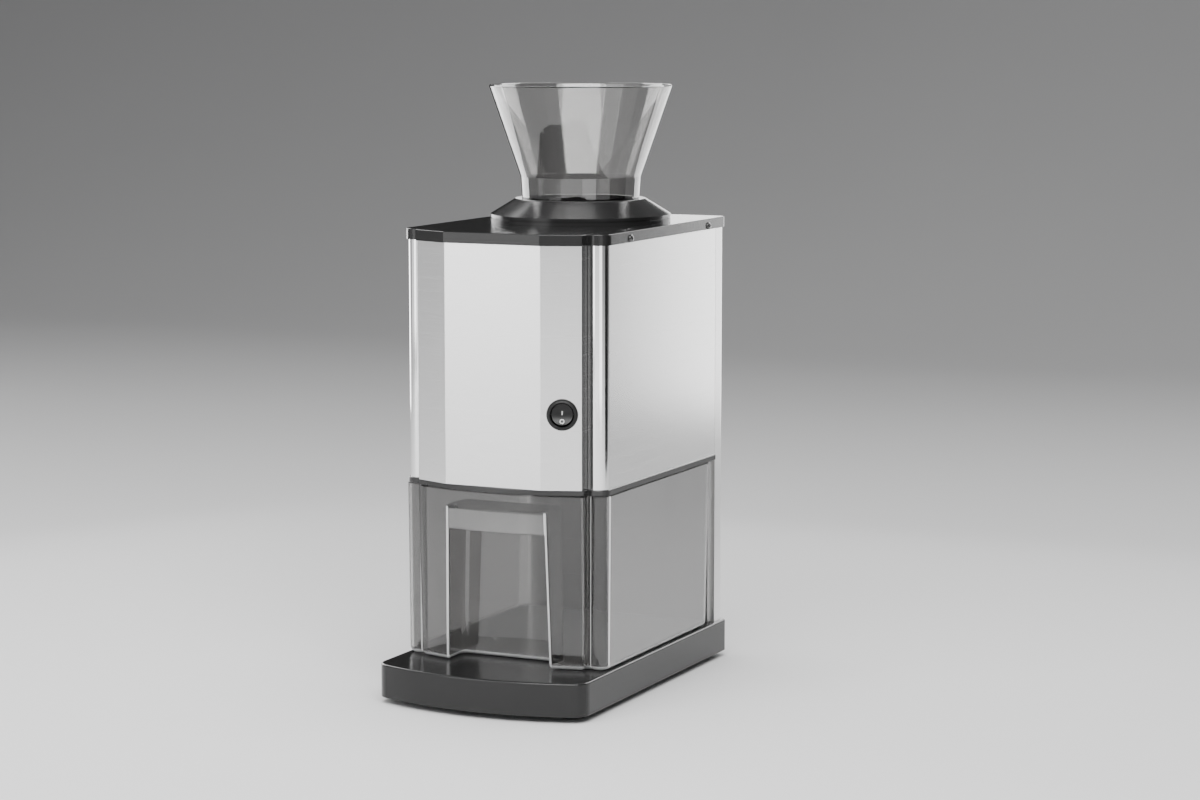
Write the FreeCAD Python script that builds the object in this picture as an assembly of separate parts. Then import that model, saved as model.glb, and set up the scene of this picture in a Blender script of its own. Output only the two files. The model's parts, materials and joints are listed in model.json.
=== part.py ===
"""Electric ice crusher for a bar or a concession stand, modelled in millimetres.

+X is to the right as one looks at the front, +Y to the back and +Z up. The origin is at the bottom centre of
the whole machine.
Every sub-part is written to parts/NAME.step.
"""
import FreeCAD
import Part
import math
import os

from FreeCAD import Rotation, Vector

# ---------------------------------------------------------------- driving dimensions
HEIGHT = 473.0              # floor to hopper rim
DEPTH = 306.0               # front of the base to the end of the cord gland
WIDTH = 177.0               # base, the widest piece

FRONT_Y = -DEPTH / 2        # foremost point of the bowed base
GLAND_END_Y = DEPTH / 2     # rearmost point of the cord gland

# base
BASE_REAR_Y = 141.0
BASE_BOTTOM_Z = 5.0
BASE_TOP_Z = 31.0
BASE_CORNER_R = 14.0
BASE_BOW_R = 229.0          # radius of the bowed front
BASE_WALL = 3.0
BASE_RIB = 2.5
BASE_RIB_Z = 14.0           # the ribs under the tray end here
FOOT_R = 11.0
SPINE_BOLTS = [(x, 130.5) for x in (-62.0, -20.0, 20.0, 62.0)]
FOOT_PLACES = [(x, y) for x in (-68.0, 68.0) for y in (-114.0, 112.0)]

# upper housing
POST_Y = -83.5              # centre line of the front corner posts
HOUSING_HALF = 85.0
HOUSING_FRONT_Y = -111.0
FACET_BREAK_X = 40.6
FACET_END = (70.2, -99.5)
POST_R = 8.5
NOTCH = 2.3                 # gap between the front panel and a corner post
SHEET = 1.0
HOUSING_BOTTOM_Z = 171.0
HOUSING_TOP_Z = 362.0       # the cover rests here
SIDE_REAR_Y = 121.4

# top cover and hopper seat
LID_GROW = 1.7              # how far the cover stands out from the housing
LID_FIT = 0.1               # play between the skirt and the housing
LID_SKIRT_Z = 356.5
LID_TOP_Z = 365.0
LID_PLATE = 3.0
HOPPER_Y = 45.0
RING_R = 72.0
RING_EDGE_Z = 370.7
RING_NECK_R = 52.8
RING_TOP_Z = 382.9
RING_BORE_R = 47.1
RING_SHELL = 2.4

# hopper
HOPPER_WALL = 2.6
HOPPER_RIM_R = 72.7
HOPPER_KINK_R = 47.8
HOPPER_KINK_Z = 400.4
HOPPER_COLLAR_R = 46.7
HOPPER_FOOT_Z = LID_TOP_Z + 0.3

# ice bin
BIN_HALF_TOP = 87.3
BIN_HALF_BOTTOM = 86.3
BIN_FRONT_TOP = -111.6
BIN_FRONT_BOTTOM = -107.0
BIN_END_TOP = (70.4, -99.4)
BIN_END_BOTTOM = (69.8, -95.6)
BIN_REAR_TOP = 112.0
BIN_REAR_BOTTOM = 108.5
BIN_POST_R = 9.0
BIN_BOTTOM_Z = BASE_TOP_Z + 0.3
BIN_TOP_Z = 165.8
BIN_WALL = 2.5
BIN_FLOOR = 3.0
BIN_HEEL_R = 5.0            # rounding of the outer bottom edges
NICHE_R = 4.0
NICHE_HALF_TOP = 40.5
NICHE_HALF_BOTTOM = 43.0
NICHE_BACK_Y = -77.5
NICHE_TOP_Z = 151.5
LIP_BOTTOM_Z = 135.5
NICHE_HEEL_R = 4.0
NICHE_EDGE_R = 1.6

# bottom plate of the upper housing
PLATE_BOTTOM_Z = 166.4

# rear spine
SPINE_REAR_Y = 139.5
SPINE_FRONT_Y = 121.8
SPINE_SHEET = 1.2
SPINE_R = 6.0
SPINE_LIP = 10.0            # width of the lips beside the open front of the channel
SPINE_COVER = 3.2           # thickness of the moulded cover over that opening
M4_R = 2.0
M4_CLEARANCE_R = 2.2
VENT_ROWS = 9
VENT_PITCH = 7.0
VENT_LOW_Z = 282.0
VENT_HALF = 32.0
VENT_HEIGHT = 3.0

# crusher
SHAFT_Z = 262.0
CHAMBER_HALF = 48.0         # outside, in X; in Y it is the same about HOPPER_Y
CHAMBER_WALL = 5.0
CHAMBER_BOTTOM_Z = 222.0
CHAMBER_TOP_Z = 318.0
NECK_TOP_Z = LID_TOP_Z - LID_PLATE
NECK_R = 43.6
CHAMBER_FRONT_Y = HOPPER_Y - CHAMBER_HALF
CHAMBER_REAR_Y = HOPPER_Y + CHAMBER_HALF
BEARING_R = 14.0
SHAFT_R = 6.0
HEX_FLATS = 16.0
SPACER_R = 11.5
BLADE_TIP_R = 38.0
BLADE_THICKNESS = 3.0
BLADE_PITCH = 18.0
BLADE_COUNT = 4
BLADE_ARMS = 3
BLADE_STAGGER = 30.0        # turn from one blade to the next, degrees
RUNNING = 0.03              # radial clearance of a shaft in its bearing
COMB_Z = 250.0              # height of the breaker combs' fingers
COMB_TIP_X = 14.0
COMB_SCREW_OFFSETS = (-27.0, 27.0)
COMB_HOLE_R = 2.6
CHAMBER_BOLTS = [(x, y) for x in (-52.5, 52.5) for y in (20.0, 70.0)]

# gear train: drive gear on the blade shaft, compound idler above it, motor pinion below the idler
DRIVE_MODULE = 1.25
DRIVE_TEETH = 48
IDLER_PINION_TEETH = 14
INPUT_MODULE = 0.8
IDLER_TEETH = 56
MOTOR_PINION_TEETH = 14
PRESSURE_ANGLE = math.radians(20.0)
ADDENDUM = 0.8              # stub teeth, in modules
DEDENDUM = 1.1
BACKLASH = 0.12             # thinning of each tooth at the pitch circle
IDLER_Z = SHAFT_Z + DRIVE_MODULE * (DRIVE_TEETH + IDLER_PINION_TEETH) / 2
MOTOR_Z = IDLER_Z - INPUT_MODULE * (IDLER_TEETH + MOTOR_PINION_TEETH) / 2
IDLER_PIN_R = 4.0

GEARCASE_REAR_Y = CHAMBER_FRONT_Y
GEARCASE_DEPTH = 27.0
GEARCASE_FRONT_Y = GEARCASE_REAR_Y - GEARCASE_DEPTH
GEARCASE_WALL = 3.0
COVER_FRONT_Y = GEARCASE_FRONT_Y - 3.0
MOTOR_R = 31.0
MOTOR_LENGTH = 60.0
MOTOR_FRONT_Y = COVER_FRONT_Y - MOTOR_LENGTH
MOTOR_SHAFT_R = 2.5
MOTOR_NOSE_R = 7.2
MOTOR_WALL = 2.0
ARMATURE_R = 21.0
ARMATURE_SLOTS = 10
FAN_R = 25.0
FAN_VANES = 9

# rocker switch on the right facet
SWITCH_X = 56.0
SWITCH_Z = 229.0
BEZEL_R = 12.0
BEZEL_BORE_R = 9.1
SWITCH_BARREL_R = 10.3
ROCKER_R = 8.1
ROCKER_TILT = -7.0          # at rest the upper half is pressed in
ROCKER_DISH_R = 17.0
PIVOT_R = 1.0
PIVOT_DEPTH = -2.5

# safety plunger that the bin holds in
PLUNGER_X = 62.0
PLUNGER_Z = 150.0
PLUNGER_R = 2.5
PLUNGER_PLAY = 0.15

# cord gland
GLAND_X = -50.0
GLAND_Z = 56.0
GLAND_BORE_R = 3.6
GLAND_THREAD_R = 7.9
GLAND_FLATS = 20.0

# screws that hold the cover's skirt to the side panels
LID_SCREW_YS = (-47.8, 102.5)
LID_SCREW_Z = 359.4
LID_HOLE_R = 1.7

X_AXIS = Vector(1, 0, 0)
Y_AXIS = Vector(0, 1, 0)
Z_AXIS = Vector(0, 0, 1)


# ---------------------------------------------------------------- helpers
def box(x0, x1, y0, y1, z0, z1):
    """Box between two corners."""
    return Part.makeBox(x1 - x0, y1 - y0, z1 - z0, Vector(x0, y0, z0))


def rod(radius, start, end):
    """Cylinder of that radius from one point to another."""
    a, b = Vector(*start), Vector(*end)
    return Part.makeCylinder(radius, (b - a).Length, a, b - a)


def tube(outer, inner, start, end):
    """Hollow cylinder."""
    return rod(outer, start, end).cut(rod(inner, start, end))


def fuse(*shapes):
    """One clean solid made of several that touch or overlap."""
    return shapes[0].multiFuse(list(shapes[1:])).removeSplitter()


def polygon(points):
    """Flat face with straight sides through 3-D points."""
    corners = [Vector(*p) for p in points]
    return Part.Face(Part.makePolygon(corners + corners[:1]))


def prism(points, direction):
    """Polygon pushed along a direction."""
    return polygon(points).extrude(Vector(*direction))


def hexagon_y(flats, x, z, y0, y1):
    """Hexagonal bar along Y."""
    r = flats / math.sqrt(3.0)
    angles = [math.radians(60.0 * k) for k in range(6)]
    return prism([(x + r * math.cos(a), y0, z + r * math.sin(a)) for a in angles], (0, y1 - y0, 0))


def turned(profile, x, y):
    """Body of revolution about the vertical through (x, y), from (radius, z) points."""
    face = polygon([(x + r, y, z) for r, z in profile])
    return face.revolve(Vector(x, y, 0), Z_AXIS, 360)


def turned_y(profile, x, z):
    """Body of revolution about the line along Y through (x, z), from (radius, y) points."""
    face = polygon([(x + r, y, z) for r, y in profile])
    return face.revolve(Vector(x, 0, z), Y_AXIS, 360)


def spun(shape, axis_point, axis, angle):
    """Copy of a shape, turned by angle degrees."""
    copy = shape.copy()
    copy.rotate(Vector(*axis_point), axis, angle)
    return copy


def mirrored(shape):
    """Copy on the other side of the machine's middle plane."""
    return shape.mirror(Vector(0, 0, 0), X_AXIS)


def rounded(shape, radius, picks):
    """Shape with those of its edges rounded that the picks function accepts."""
    edges = [e for e in shape.Edges if picks(e)]
    return shape.makeFillet(radius, edges) if edges else shape


def upright(edge):
    """True for an edge that runs along Z."""
    size = edge.BoundBox
    return size.ZLength > 1.0 and size.XLength < 1e-3 and size.YLength < 1e-3


def level_at(z, tolerance=0.01):
    """Test for edges that lie flat at one height."""
    return lambda e: abs(e.BoundBox.ZMin - z) < tolerance and abs(e.BoundBox.ZMax - z) < tolerance


def write(name, *shapes):
    """Write one node: each shape gives one or more solids."""
    solids = [s for shape in shapes for s in shape.Solids]
    for s in solids:
        if not s.isValid() or s.Volume <= 0:
            print("BAD SOLID in", name, s.isValid(), s.Volume)
    part = solids[0] if len(solids) == 1 else Part.makeCompound(solids)
    part.exportStep(os.path.join("parts", name + ".step"))


# ---------------------------------------------------------------- plan outlines
def outline(segments, z):
    """Closed face at height z from the right half's segments, which run front to back.

    A segment is (start, end) for a line or (start, middle, end) for an arc, as (x, y) pairs.
    """
    def edge(points):
        p = [Vector(x, y, z) for x, y in points]
        if len(p) == 2:
            return Part.LineSegment(p[0], p[1]).toShape()
        return Part.Arc(p[0], p[1], p[2]).toShape()

    right = [edge(s) for s in segments]
    left = [edge([(-x, y) for x, y in reversed(s)]) for s in reversed(segments)]
    return Part.Face(Part.Wire(right + left))


def arc_mid(centre, radius, angle):
    """Point of a circle, angle in degrees."""
    a = math.radians(angle)
    return (centre[0] + radius * math.cos(a), centre[1] + radius * math.sin(a))


def posted_outline(z, half, front_y, end, post_r, rear_y, rear_r, bowed, notch=NOTCH):
    """Plan with a bowed or faceted front, a round post at each front corner and a notch beside each post."""
    post = (half - post_r, POST_Y)
    notch_x = end[0] + notch
    start_angle = -math.degrees(math.acos((notch_x - post[0]) / post_r))
    notch_y = post[1] + post_r * math.sin(math.radians(start_angle))
    if bowed:
        radius = (end[0] ** 2 + (end[1] - front_y) ** 2) / (2 * (end[1] - front_y))
        half_way = math.asin(end[0] / radius) / 2
        middle = (radius * math.sin(half_way), front_y + radius * (1 - math.cos(half_way)))
        front = [((0, front_y), middle, end)]
    else:
        front = [((0, front_y), (FACET_BREAK_X, front_y)), ((FACET_BREAK_X, front_y), end)]
    rear = (half - rear_r, rear_y - rear_r)
    return outline(front + [
        (end, (end[0], notch_y)),
        ((end[0], notch_y), (notch_x, notch_y)),
        ((notch_x, notch_y), arc_mid(post, post_r, start_angle / 2), (half, post[1])),
        ((half, post[1]), (half, rear[1])),
        ((half, rear[1]), arc_mid(rear, rear_r, 45), (rear[0], rear_y)),
        ((rear[0], rear_y), (0, rear_y)),
    ], z)


def base_outline(z, inset=0.0):
    """Plan of the base, drawn in by inset: the bowed front runs smoothly into the corners."""
    half = WIDTH / 2 - inset
    bow_r = BASE_BOW_R - inset
    corner_r = BASE_CORNER_R - inset
    bow_centre_y = FRONT_Y + BASE_BOW_R
    reach = math.sqrt((bow_r - corner_r) ** 2 - (half - corner_r) ** 2)
    corner = (half - corner_r, bow_centre_y - reach)
    angle = math.atan2(-reach, corner[0])
    meet = (bow_r * math.cos(angle), bow_centre_y + bow_r * math.sin(angle))
    middle_angle = (angle - math.pi / 2) / 2
    middle = (bow_r * math.cos(middle_angle), bow_centre_y + bow_r * math.sin(middle_angle))
    rear_r = 5.0 - min(inset, 4.0)
    rear = (half - rear_r, BASE_REAR_Y - inset - rear_r)
    return outline([
        ((0, FRONT_Y + inset), middle, meet),
        (meet, arc_mid(corner, corner_r, math.degrees(angle) / 2), (half, corner[1])),
        ((half, corner[1]), (half, rear[1])),
        ((half, rear[1]), arc_mid(rear, rear_r, 45), (rear[0], rear[1] + rear_r)),
        ((rear[0], rear[1] + rear_r), (0, rear[1] + rear_r)),
    ], z)


# ---------------------------------------------------------------- base
def base():
    """Moulded tray, open below, with a boss over each foot."""
    height = BASE_TOP_Z - BASE_BOTTOM_Z
    half = WIDTH / 2 - BASE_WALL / 2
    tray = base_outline(BASE_BOTTOM_Z).extrude(Vector(0, 0, height))
    tray = rounded(tray, 1.6, level_at(BASE_TOP_Z))
    hollow = base_outline(BASE_BOTTOM_Z - 1, BASE_WALL).extrude(Vector(0, 0, height + 1 - BASE_WALL))
    tray = tray.cut(hollow)
    under = BASE_TOP_Z - BASE_WALL
    additions = [rod(FOOT_R + 1, (x, y, BASE_BOTTOM_Z), (x, y, under + 1)) for x, y in FOOT_PLACES]
    rib = BASE_RIB / 2
    additions += [box(x - rib, x + rib, -138.0, BASE_REAR_Y - BASE_WALL / 2, BASE_RIB_Z, under + 1)
                  for x in (-35.0, 35.0)]
    additions += [box(-half, half, y - rib, y + rib, BASE_RIB_Z, under + 1) for y in (-60.0, 40.0)]
    tray = fuse(tray, *additions)
    screw_holes = [rod(1.9, (x, y, 0), (x, y, 22)) for x, y in FOOT_PLACES]
    bolt_holes = [rod(M4_CLEARANCE_R, (x, y, 0), (x, y, BASE_TOP_Z + 1)) for x, y in SPINE_BOLTS]
    write("base_tray", tray.cut(Part.makeCompound(screw_holes + bolt_holes)))

    feet, screws = [], []
    for x, y in FOOT_PLACES:
        foot = turned([(2.2, BASE_BOTTOM_Z), (FOOT_R, BASE_BOTTOM_Z), (FOOT_R, 1.0), (FOOT_R - 1.0, 0.0),
                       (5.0, 0.0), (5.0, 2.4), (2.2, 2.4)], x, y)
        screw = turned([(0, 0.8), (4.0, 0.8), (4.0, 2.4), (1.85, 2.4), (1.85, 18.0), (0, 19.5)], x, y)
        slot = box(x - 3, x + 3, y - 0.4, y + 0.4, 0, 1.5)
        feet.append(foot)
        screws.append(screw.cut(fuse(slot, spun(slot, (x, y, 0), Z_AXIS, 90))))
    write("rubber_feet", *feet)
    write("foot_screws", *screws)


# ---------------------------------------------------------------- rear spine
def spine():
    """Full-height channel of bent sheet that carries the upper housing, its bolts and its front cover."""
    top = HOUSING_TOP_Z
    half = HOUSING_HALF

    def channel(inset, z0, z1):
        r = SPINE_R - inset
        side_y = SPINE_REAR_Y - SPINE_R
        centre = (half - SPINE_R, side_y)
        face = outline([
            ((0, SPINE_FRONT_Y + inset), (half - inset, SPINE_FRONT_Y + inset)),
            ((half - inset, SPINE_FRONT_Y + inset), (half - inset, side_y)),
            ((half - inset, side_y), arc_mid(centre, r, 45), (centre[0], SPINE_REAR_Y - inset)),
            ((centre[0], SPINE_REAR_Y - inset), (0, SPINE_REAR_Y - inset)),
        ], z0)
        return face.extrude(Vector(0, 0, z1 - z0))

    shell = channel(0, BASE_TOP_Z, top).cut(channel(SPINE_SHEET, BASE_TOP_Z - 1, top + 1))
    mouth_half = half - SPINE_LIP
    mouth = box(-mouth_half, mouth_half, SPINE_FRONT_Y - 1, SPINE_FRONT_Y + SPINE_SHEET + 0.5,
                BASE_TOP_Z - 1, top + 1)
    foot_plate = channel(SPINE_SHEET - 0.2, BASE_TOP_Z, BASE_TOP_Z + 2.0)
    shell = fuse(shell.cut(mouth), foot_plate)
    vents = []
    for row in range(VENT_ROWS):
        z = VENT_LOW_Z + VENT_PITCH * row
        slot = box(-VENT_HALF, VENT_HALF, SPINE_REAR_Y - 3, SPINE_REAR_Y + 1, z - VENT_HEIGHT / 2,
                   z + VENT_HEIGHT / 2)
        vents.append(rounded(slot, 1.4, lambda e: e.BoundBox.YLength > 3.5))
    vents.append(rod(8.0, (GLAND_X, SPINE_REAR_Y - 3, GLAND_Z), (GLAND_X, SPINE_REAR_Y + 1, GLAND_Z)))
    vents += [rod(M4_CLEARANCE_R, (x, y, BASE_TOP_Z - 1), (x, y, BASE_TOP_Z + 3)) for x, y in SPINE_BOLTS]
    write("rear_spine", shell.cut(Part.makeCompound(vents)))

    bolts = []
    for x, y in SPINE_BOLTS:
        under = BASE_TOP_Z - BASE_WALL
        shank = rod(M4_R, (x, y, under - 3.2), (x, y, BASE_TOP_Z + 2.0))
        head = rod(4.0, (x, y, BASE_TOP_Z + 2.0), (x, y, BASE_TOP_Z + 4.4))
        nut_r = 7.0 / math.sqrt(3.0)
        ring = [(x + nut_r * math.cos(math.radians(60 * k)), y + nut_r * math.sin(math.radians(60 * k)),
                 under - 3.2) for k in range(6)]
        bolts.append(fuse(shank, head, prism(ring, (0, 0, 3.2))))
    write("spine_bolts", *bolts)

    cover_half = mouth_half + 6.0
    face_y = SPINE_FRONT_Y - SPINE_COVER
    cover = box(-cover_half, cover_half, face_y, SPINE_FRONT_Y, BASE_TOP_Z + 0.2, PLATE_BOTTOM_Z)
    ribs = [box(-cover_half + 10, cover_half - 10, face_y - 1.2, face_y, z, z + 2.5)
            for z in (60.0, 90.0, 120.0)]
    cover = fuse(rounded(cover, 1.0, upright), *ribs)
    hole = rod(PLUNGER_R + PLUNGER_PLAY, (PLUNGER_X, face_y - 5, PLUNGER_Z),
               (PLUNGER_X, SPINE_FRONT_Y + 1, PLUNGER_Z))
    write("spine_cover", cover.cut(hole))

    gland()
    interlock()


def gland():
    """Cord gland through the spine's back, and the nut that holds it inside."""
    y = SPINE_REAR_Y
    inner_end = y - 14.0
    thread = turned_y([(GLAND_BORE_R, inner_end), (GLAND_THREAD_R, inner_end), (GLAND_THREAD_R, y),
                       (GLAND_BORE_R, y)], GLAND_X, GLAND_Z)
    collar = hexagon_y(GLAND_FLATS, GLAND_X, GLAND_Z, y, y + 3.5)
    collar = collar.cut(rod(GLAND_BORE_R, (GLAND_X, y - 1, GLAND_Z), (GLAND_X, y + 5, GLAND_Z)))
    cap = turned_y([(GLAND_BORE_R, y + 3.5), (8.6, y + 3.5), (8.6, y + 6.0), (6.4, GLAND_END_Y),
                    (GLAND_BORE_R, GLAND_END_Y)], GLAND_X, GLAND_Z)
    write("cord_gland", fuse(thread, collar, cap))
    nut = hexagon_y(GLAND_FLATS, GLAND_X, GLAND_Z, y - SPINE_SHEET - 4.0, y - SPINE_SHEET)
    write("gland_nut", nut.cut(rod(GLAND_THREAD_R + 0.05, (GLAND_X, y - 8, GLAND_Z), (GLAND_X, y, GLAND_Z))))


def interlock():
    """Safety switch that the bin's back wall holds closed, with its plunger."""
    x, z = PLUNGER_X, PLUNGER_Z
    front = SPINE_FRONT_Y + SPINE_SHEET + 0.2
    body = box(x - 10, x + 10, front, front + 8.0, z - 5.2, z + 5.2)
    bore = rod(PLUNGER_R + PLUNGER_PLAY, (x, front - 1, z), (x, front + 7.0, z))
    tabs = [box(x + dx - 2.4, x + dx + 2.4, front + 8.0, front + 14.0, z - 0.4, z + 0.4)
            for dx in (-6.5, 0, 6.5)]
    write("interlock_switch", fuse(body.cut(bore), *tabs))
    tip = BIN_REAR_TOP + 0.1
    tail = front + 5.0
    plunger = turned_y([(0, tip), (1.7, tip), (PLUNGER_R, tip + 0.8), (PLUNGER_R, tail), (0, tail)], x, z)
    write("interlock_plunger", plunger)


# ---------------------------------------------------------------- upper housing
def front_panel():
    """Faceted stainless front, one bent sheet with returns at the sides and a hole for the switch."""
    back_y = POST_Y - 4.0
    end_x, end_y = FACET_END
    height = HOUSING_TOP_Z - HOUSING_BOTTOM_Z

    def plan(inset, back, z):
        """Faceted plan drawn in by inset."""
        turn = math.atan2(end_y - HOUSING_FRONT_Y, end_x - FACET_BREAK_X)
        break_x = FACET_BREAK_X - inset * math.tan(turn / 2)
        x = end_x - inset
        y = HOUSING_FRONT_Y + inset + (x - break_x) * math.tan(turn)
        right = [(break_x, HOUSING_FRONT_Y + inset), (x, y), (x, back)]
        left = [(-px, py) for px, py in reversed(right)]
        return [(px, py, z) for px, py in left + right]

    panel = prism(plan(0.0, back_y, HOUSING_BOTTOM_Z), (0, 0, height))
    panel = rounded(panel, 0.8, lambda e: upright(e) and e.BoundBox.Center.y < back_y - 1)
    panel = panel.cut(prism(plan(SHEET, back_y + 1, HOUSING_BOTTOM_Z - 1), (0, 0, height + 2)))
    centre, normal = switch_frame()
    hole = Part.makeCylinder(SWITCH_BARREL_R + 0.2, 8.0, centre + normal * 4.0, normal * -1.0)
    write("front_panel", panel.cut(hole))


def corner_posts():
    """Round polished posts that trim the front corners, tongued behind the front and side panels."""
    z0, z1 = HOUSING_BOTTOM_Z, HOUSING_TOP_Z
    centre = (HOUSING_HALF - POST_R, POST_Y)
    ring = tube(POST_R, POST_R - 2.0, (*centre, z0), (*centre, z1))
    x, y = centre
    keep = prism([(x, y, z0), (x - 7.0, y - 16.0, z0), (x + 18.0, y - 16.0, z0), (x + 18.0, y, z0)],
                 (0, 0, z1 - z0))
    inside_side = HOUSING_HALF - SHEET - 0.2
    beside_front = FACET_END[0] + 0.25
    side_tongue = box(inside_side - 1.6, inside_side, POST_Y - 0.5, POST_Y + 12.0, z0, z1)
    front_tongue = box(beside_front, beside_front + 1.6, POST_Y - 7.2, POST_Y + 6.0, z0, z1)
    bridge = box(beside_front, x - 1.8, POST_Y - 7.2, POST_Y - 5.4, z0, z1)
    post = fuse(ring.common(keep), side_tongue, front_tongue, bridge)
    write("corner_post_right", post)
    write("corner_post_left", mirrored(post))


def side_panels():
    """Flat stainless sides, each with flanges folded in along the top, the bottom and the back."""
    x1, y0, y1 = HOUSING_HALF, POST_Y + 0.2, SIDE_REAR_Y
    z0, z1 = HOUSING_BOTTOM_Z, HOUSING_TOP_Z
    flange_y = y0 + 14.0
    panel = fuse(
        box(x1 - SHEET, x1, y0, y1, z0, z1),
        box(x1 - 9.0, x1 - 0.5, flange_y, y1 - 2, z1 - SHEET, z1),
        box(x1 - 9.0, x1 - 0.5, flange_y, y1 - 2, z0, z0 + SHEET),
        box(x1 - 7.0, x1 - 0.5, y1 - SHEET, y1, z0 + 12, z1 - 12),
    )
    holes = [rod(LID_HOLE_R, (x1 - 4, y, LID_SCREW_Z), (x1 + 4, y, LID_SCREW_Z)) for y in LID_SCREW_YS]
    panel = panel.cut(Part.makeCompound(holes))
    write("side_panel_right", panel)
    write("side_panel_left", mirrored(panel))


def bottom_plate():
    """Black plate that closes the housing from below, with the ice outlet in it."""
    proud = 1.2
    end = (FACET_END[0] + 0.4, FACET_END[1] + 1.0)
    face = posted_outline(PLATE_BOTTOM_Z, HOUSING_HALF + proud, HOUSING_FRONT_Y - proud, end, POST_R + proud,
                          SPINE_FRONT_Y - 0.4, 1.0, True, 1.5)
    plate = face.extrude(Vector(0, 0, HOUSING_BOTTOM_Z - PLATE_BOTTOM_Z))
    plate = rounded(plate, 0.7, lambda e: level_at(PLATE_BOTTOM_Z)(e) or level_at(HOUSING_BOTTOM_Z)(e))
    half = CHAMBER_HALF - CHAMBER_WALL
    outlet = box(-half, half, HOPPER_Y - half, HOPPER_Y + half, PLATE_BOTTOM_Z - 1, HOUSING_BOTTOM_Z + 1)
    outlet = rounded(outlet, 6.0, upright)
    write("bottom_plate", plate.cut(outlet))


# ---------------------------------------------------------------- top cover, hopper seat and hopper
def lid():
    """Black cover with a skirt that overlaps the panels, its side screws and the seat ring of the hopper."""
    def plan(grow, z, notch):
        end = (FACET_END[0] + grow / 4, FACET_END[1] - grow)
        return posted_outline(z, HOUSING_HALF + grow, HOUSING_FRONT_Y - grow, end, POST_R + grow,
                              SPINE_REAR_Y + grow, SPINE_R + grow, False, notch)

    cover = plan(LID_GROW, LID_SKIRT_Z, NOTCH - 0.8).extrude(Vector(0, 0, LID_TOP_Z - LID_SKIRT_Z))
    cover = rounded(cover, 0.8, level_at(LID_TOP_Z))
    inside = plan(LID_FIT, LID_SKIRT_Z - 1, NOTCH - 0.2)
    inside = inside.extrude(Vector(0, 0, HOUSING_TOP_Z - LID_SKIRT_Z + 1))
    mouth = rod(NECK_R, (0, HOPPER_Y, LID_SKIRT_Z - 1), (0, HOPPER_Y, LID_TOP_Z + 1))
    sides = [(side, y) for side in (-1, 1) for y in LID_SCREW_YS]
    z = LID_SCREW_Z
    holes = [rod(LID_HOLE_R, (side * (HOUSING_HALF - 1), y, z), (side * (HOUSING_HALF + 4), y, z))
             for side, y in sides]
    write("top_cover", cover.cut(inside).cut(Part.makeCompound([mouth] + holes)))
    write("cover_screws", *[pan_screw(side, y) for side, y in sides])

    groove_r = RING_R - 0.5
    inner_r = RING_R - RING_SHELL
    throat_r = RING_BORE_R + 2.7
    outside = [(RING_BORE_R, LID_TOP_Z), (RING_BORE_R, RING_TOP_Z), (RING_NECK_R - 0.6, RING_TOP_Z),
               (RING_NECK_R, RING_TOP_Z - 0.5), (RING_R, RING_EDGE_Z), (RING_R, 368.4), (groove_r, 368.2),
               (groove_r, 367.6), (RING_R, 367.4), (RING_R, LID_TOP_Z)]
    inside = [(inner_r, LID_TOP_Z), (inner_r, RING_EDGE_Z - 1.1), (RING_NECK_R - 0.8, RING_TOP_Z - 2.3),
              (throat_r, RING_TOP_Z - 2.3), (throat_r, LID_TOP_Z)]
    write("hopper_seat", turned(outside + inside, 0, HOPPER_Y))


def pan_screw(side, y):
    """Pan-head screw with a cross slot, driven in through the skirt from one side."""
    skirt = HOUSING_HALF + LID_GROW
    profile = [(0, skirt - 8.0), (1.5, skirt - 7.0), (1.5, skirt), (3.0, skirt), (2.9, skirt + 0.9),
               (2.2, skirt + 1.5), (0, skirt + 1.75)]
    face = polygon([(x, y, LID_SCREW_Z + r) for r, x in profile])
    screw = face.revolve(Vector(0, y, LID_SCREW_Z), X_AXIS, 360)
    slot = box(skirt + 0.8, skirt + 2.5, y - 1.7, y + 1.7, LID_SCREW_Z - 0.35, LID_SCREW_Z + 0.35)
    screw = screw.cut(fuse(slot, spun(slot, (0, y, LID_SCREW_Z), X_AXIS, 90)))
    return screw if side > 0 else mirrored(screw)


def hopper():
    """Clear funnel: a collar that drops into the seat, a cone and a rounded rim."""
    w = HOPPER_WALL
    outside = [(HOPPER_COLLAR_R, HOPPER_FOOT_Z), (HOPPER_COLLAR_R, RING_TOP_Z),
               (HOPPER_KINK_R, HOPPER_KINK_Z), (HOPPER_RIM_R, HEIGHT - 0.9), (HOPPER_RIM_R - 0.6, HEIGHT)]
    inside = [(HOPPER_RIM_R - w + 0.6, HEIGHT), (HOPPER_RIM_R - w, HEIGHT - 0.9),
              (HOPPER_KINK_R - w, HOPPER_KINK_Z), (HOPPER_COLLAR_R - w, RING_TOP_Z),
              (HOPPER_COLLAR_R - w, HOPPER_FOOT_Z)]
    write("hopper", turned(outside + inside, 0, HOPPER_Y))


# ---------------------------------------------------------------- ice bin
def bin_outline(z, top, inset=0.0):
    """Plan of the bin at its top or its bottom, drawn in by inset."""
    half = (BIN_HALF_TOP if top else BIN_HALF_BOTTOM) - inset
    front = (BIN_FRONT_TOP if top else BIN_FRONT_BOTTOM) + inset
    end = BIN_END_TOP if top else BIN_END_BOTTOM
    rear = (BIN_REAR_TOP if top else BIN_REAR_BOTTOM) - inset
    if inset:
        end = (end[0] - inset, end[1] + inset)
    post_r = BIN_POST_R - inset
    return posted_outline(z, half, front, end, post_r, rear, 10.0 - inset, True, NOTCH + 2 * inset)


def drafted(z0, z1, inset):
    """Solid between the bin's bottom and top outlines, drawn in by inset."""
    bottom = bin_outline(z0, False, inset).OuterWire
    top = bin_outline(z1, True, inset).OuterWire
    return Part.makeLoft([bottom, top], True, True)


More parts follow.
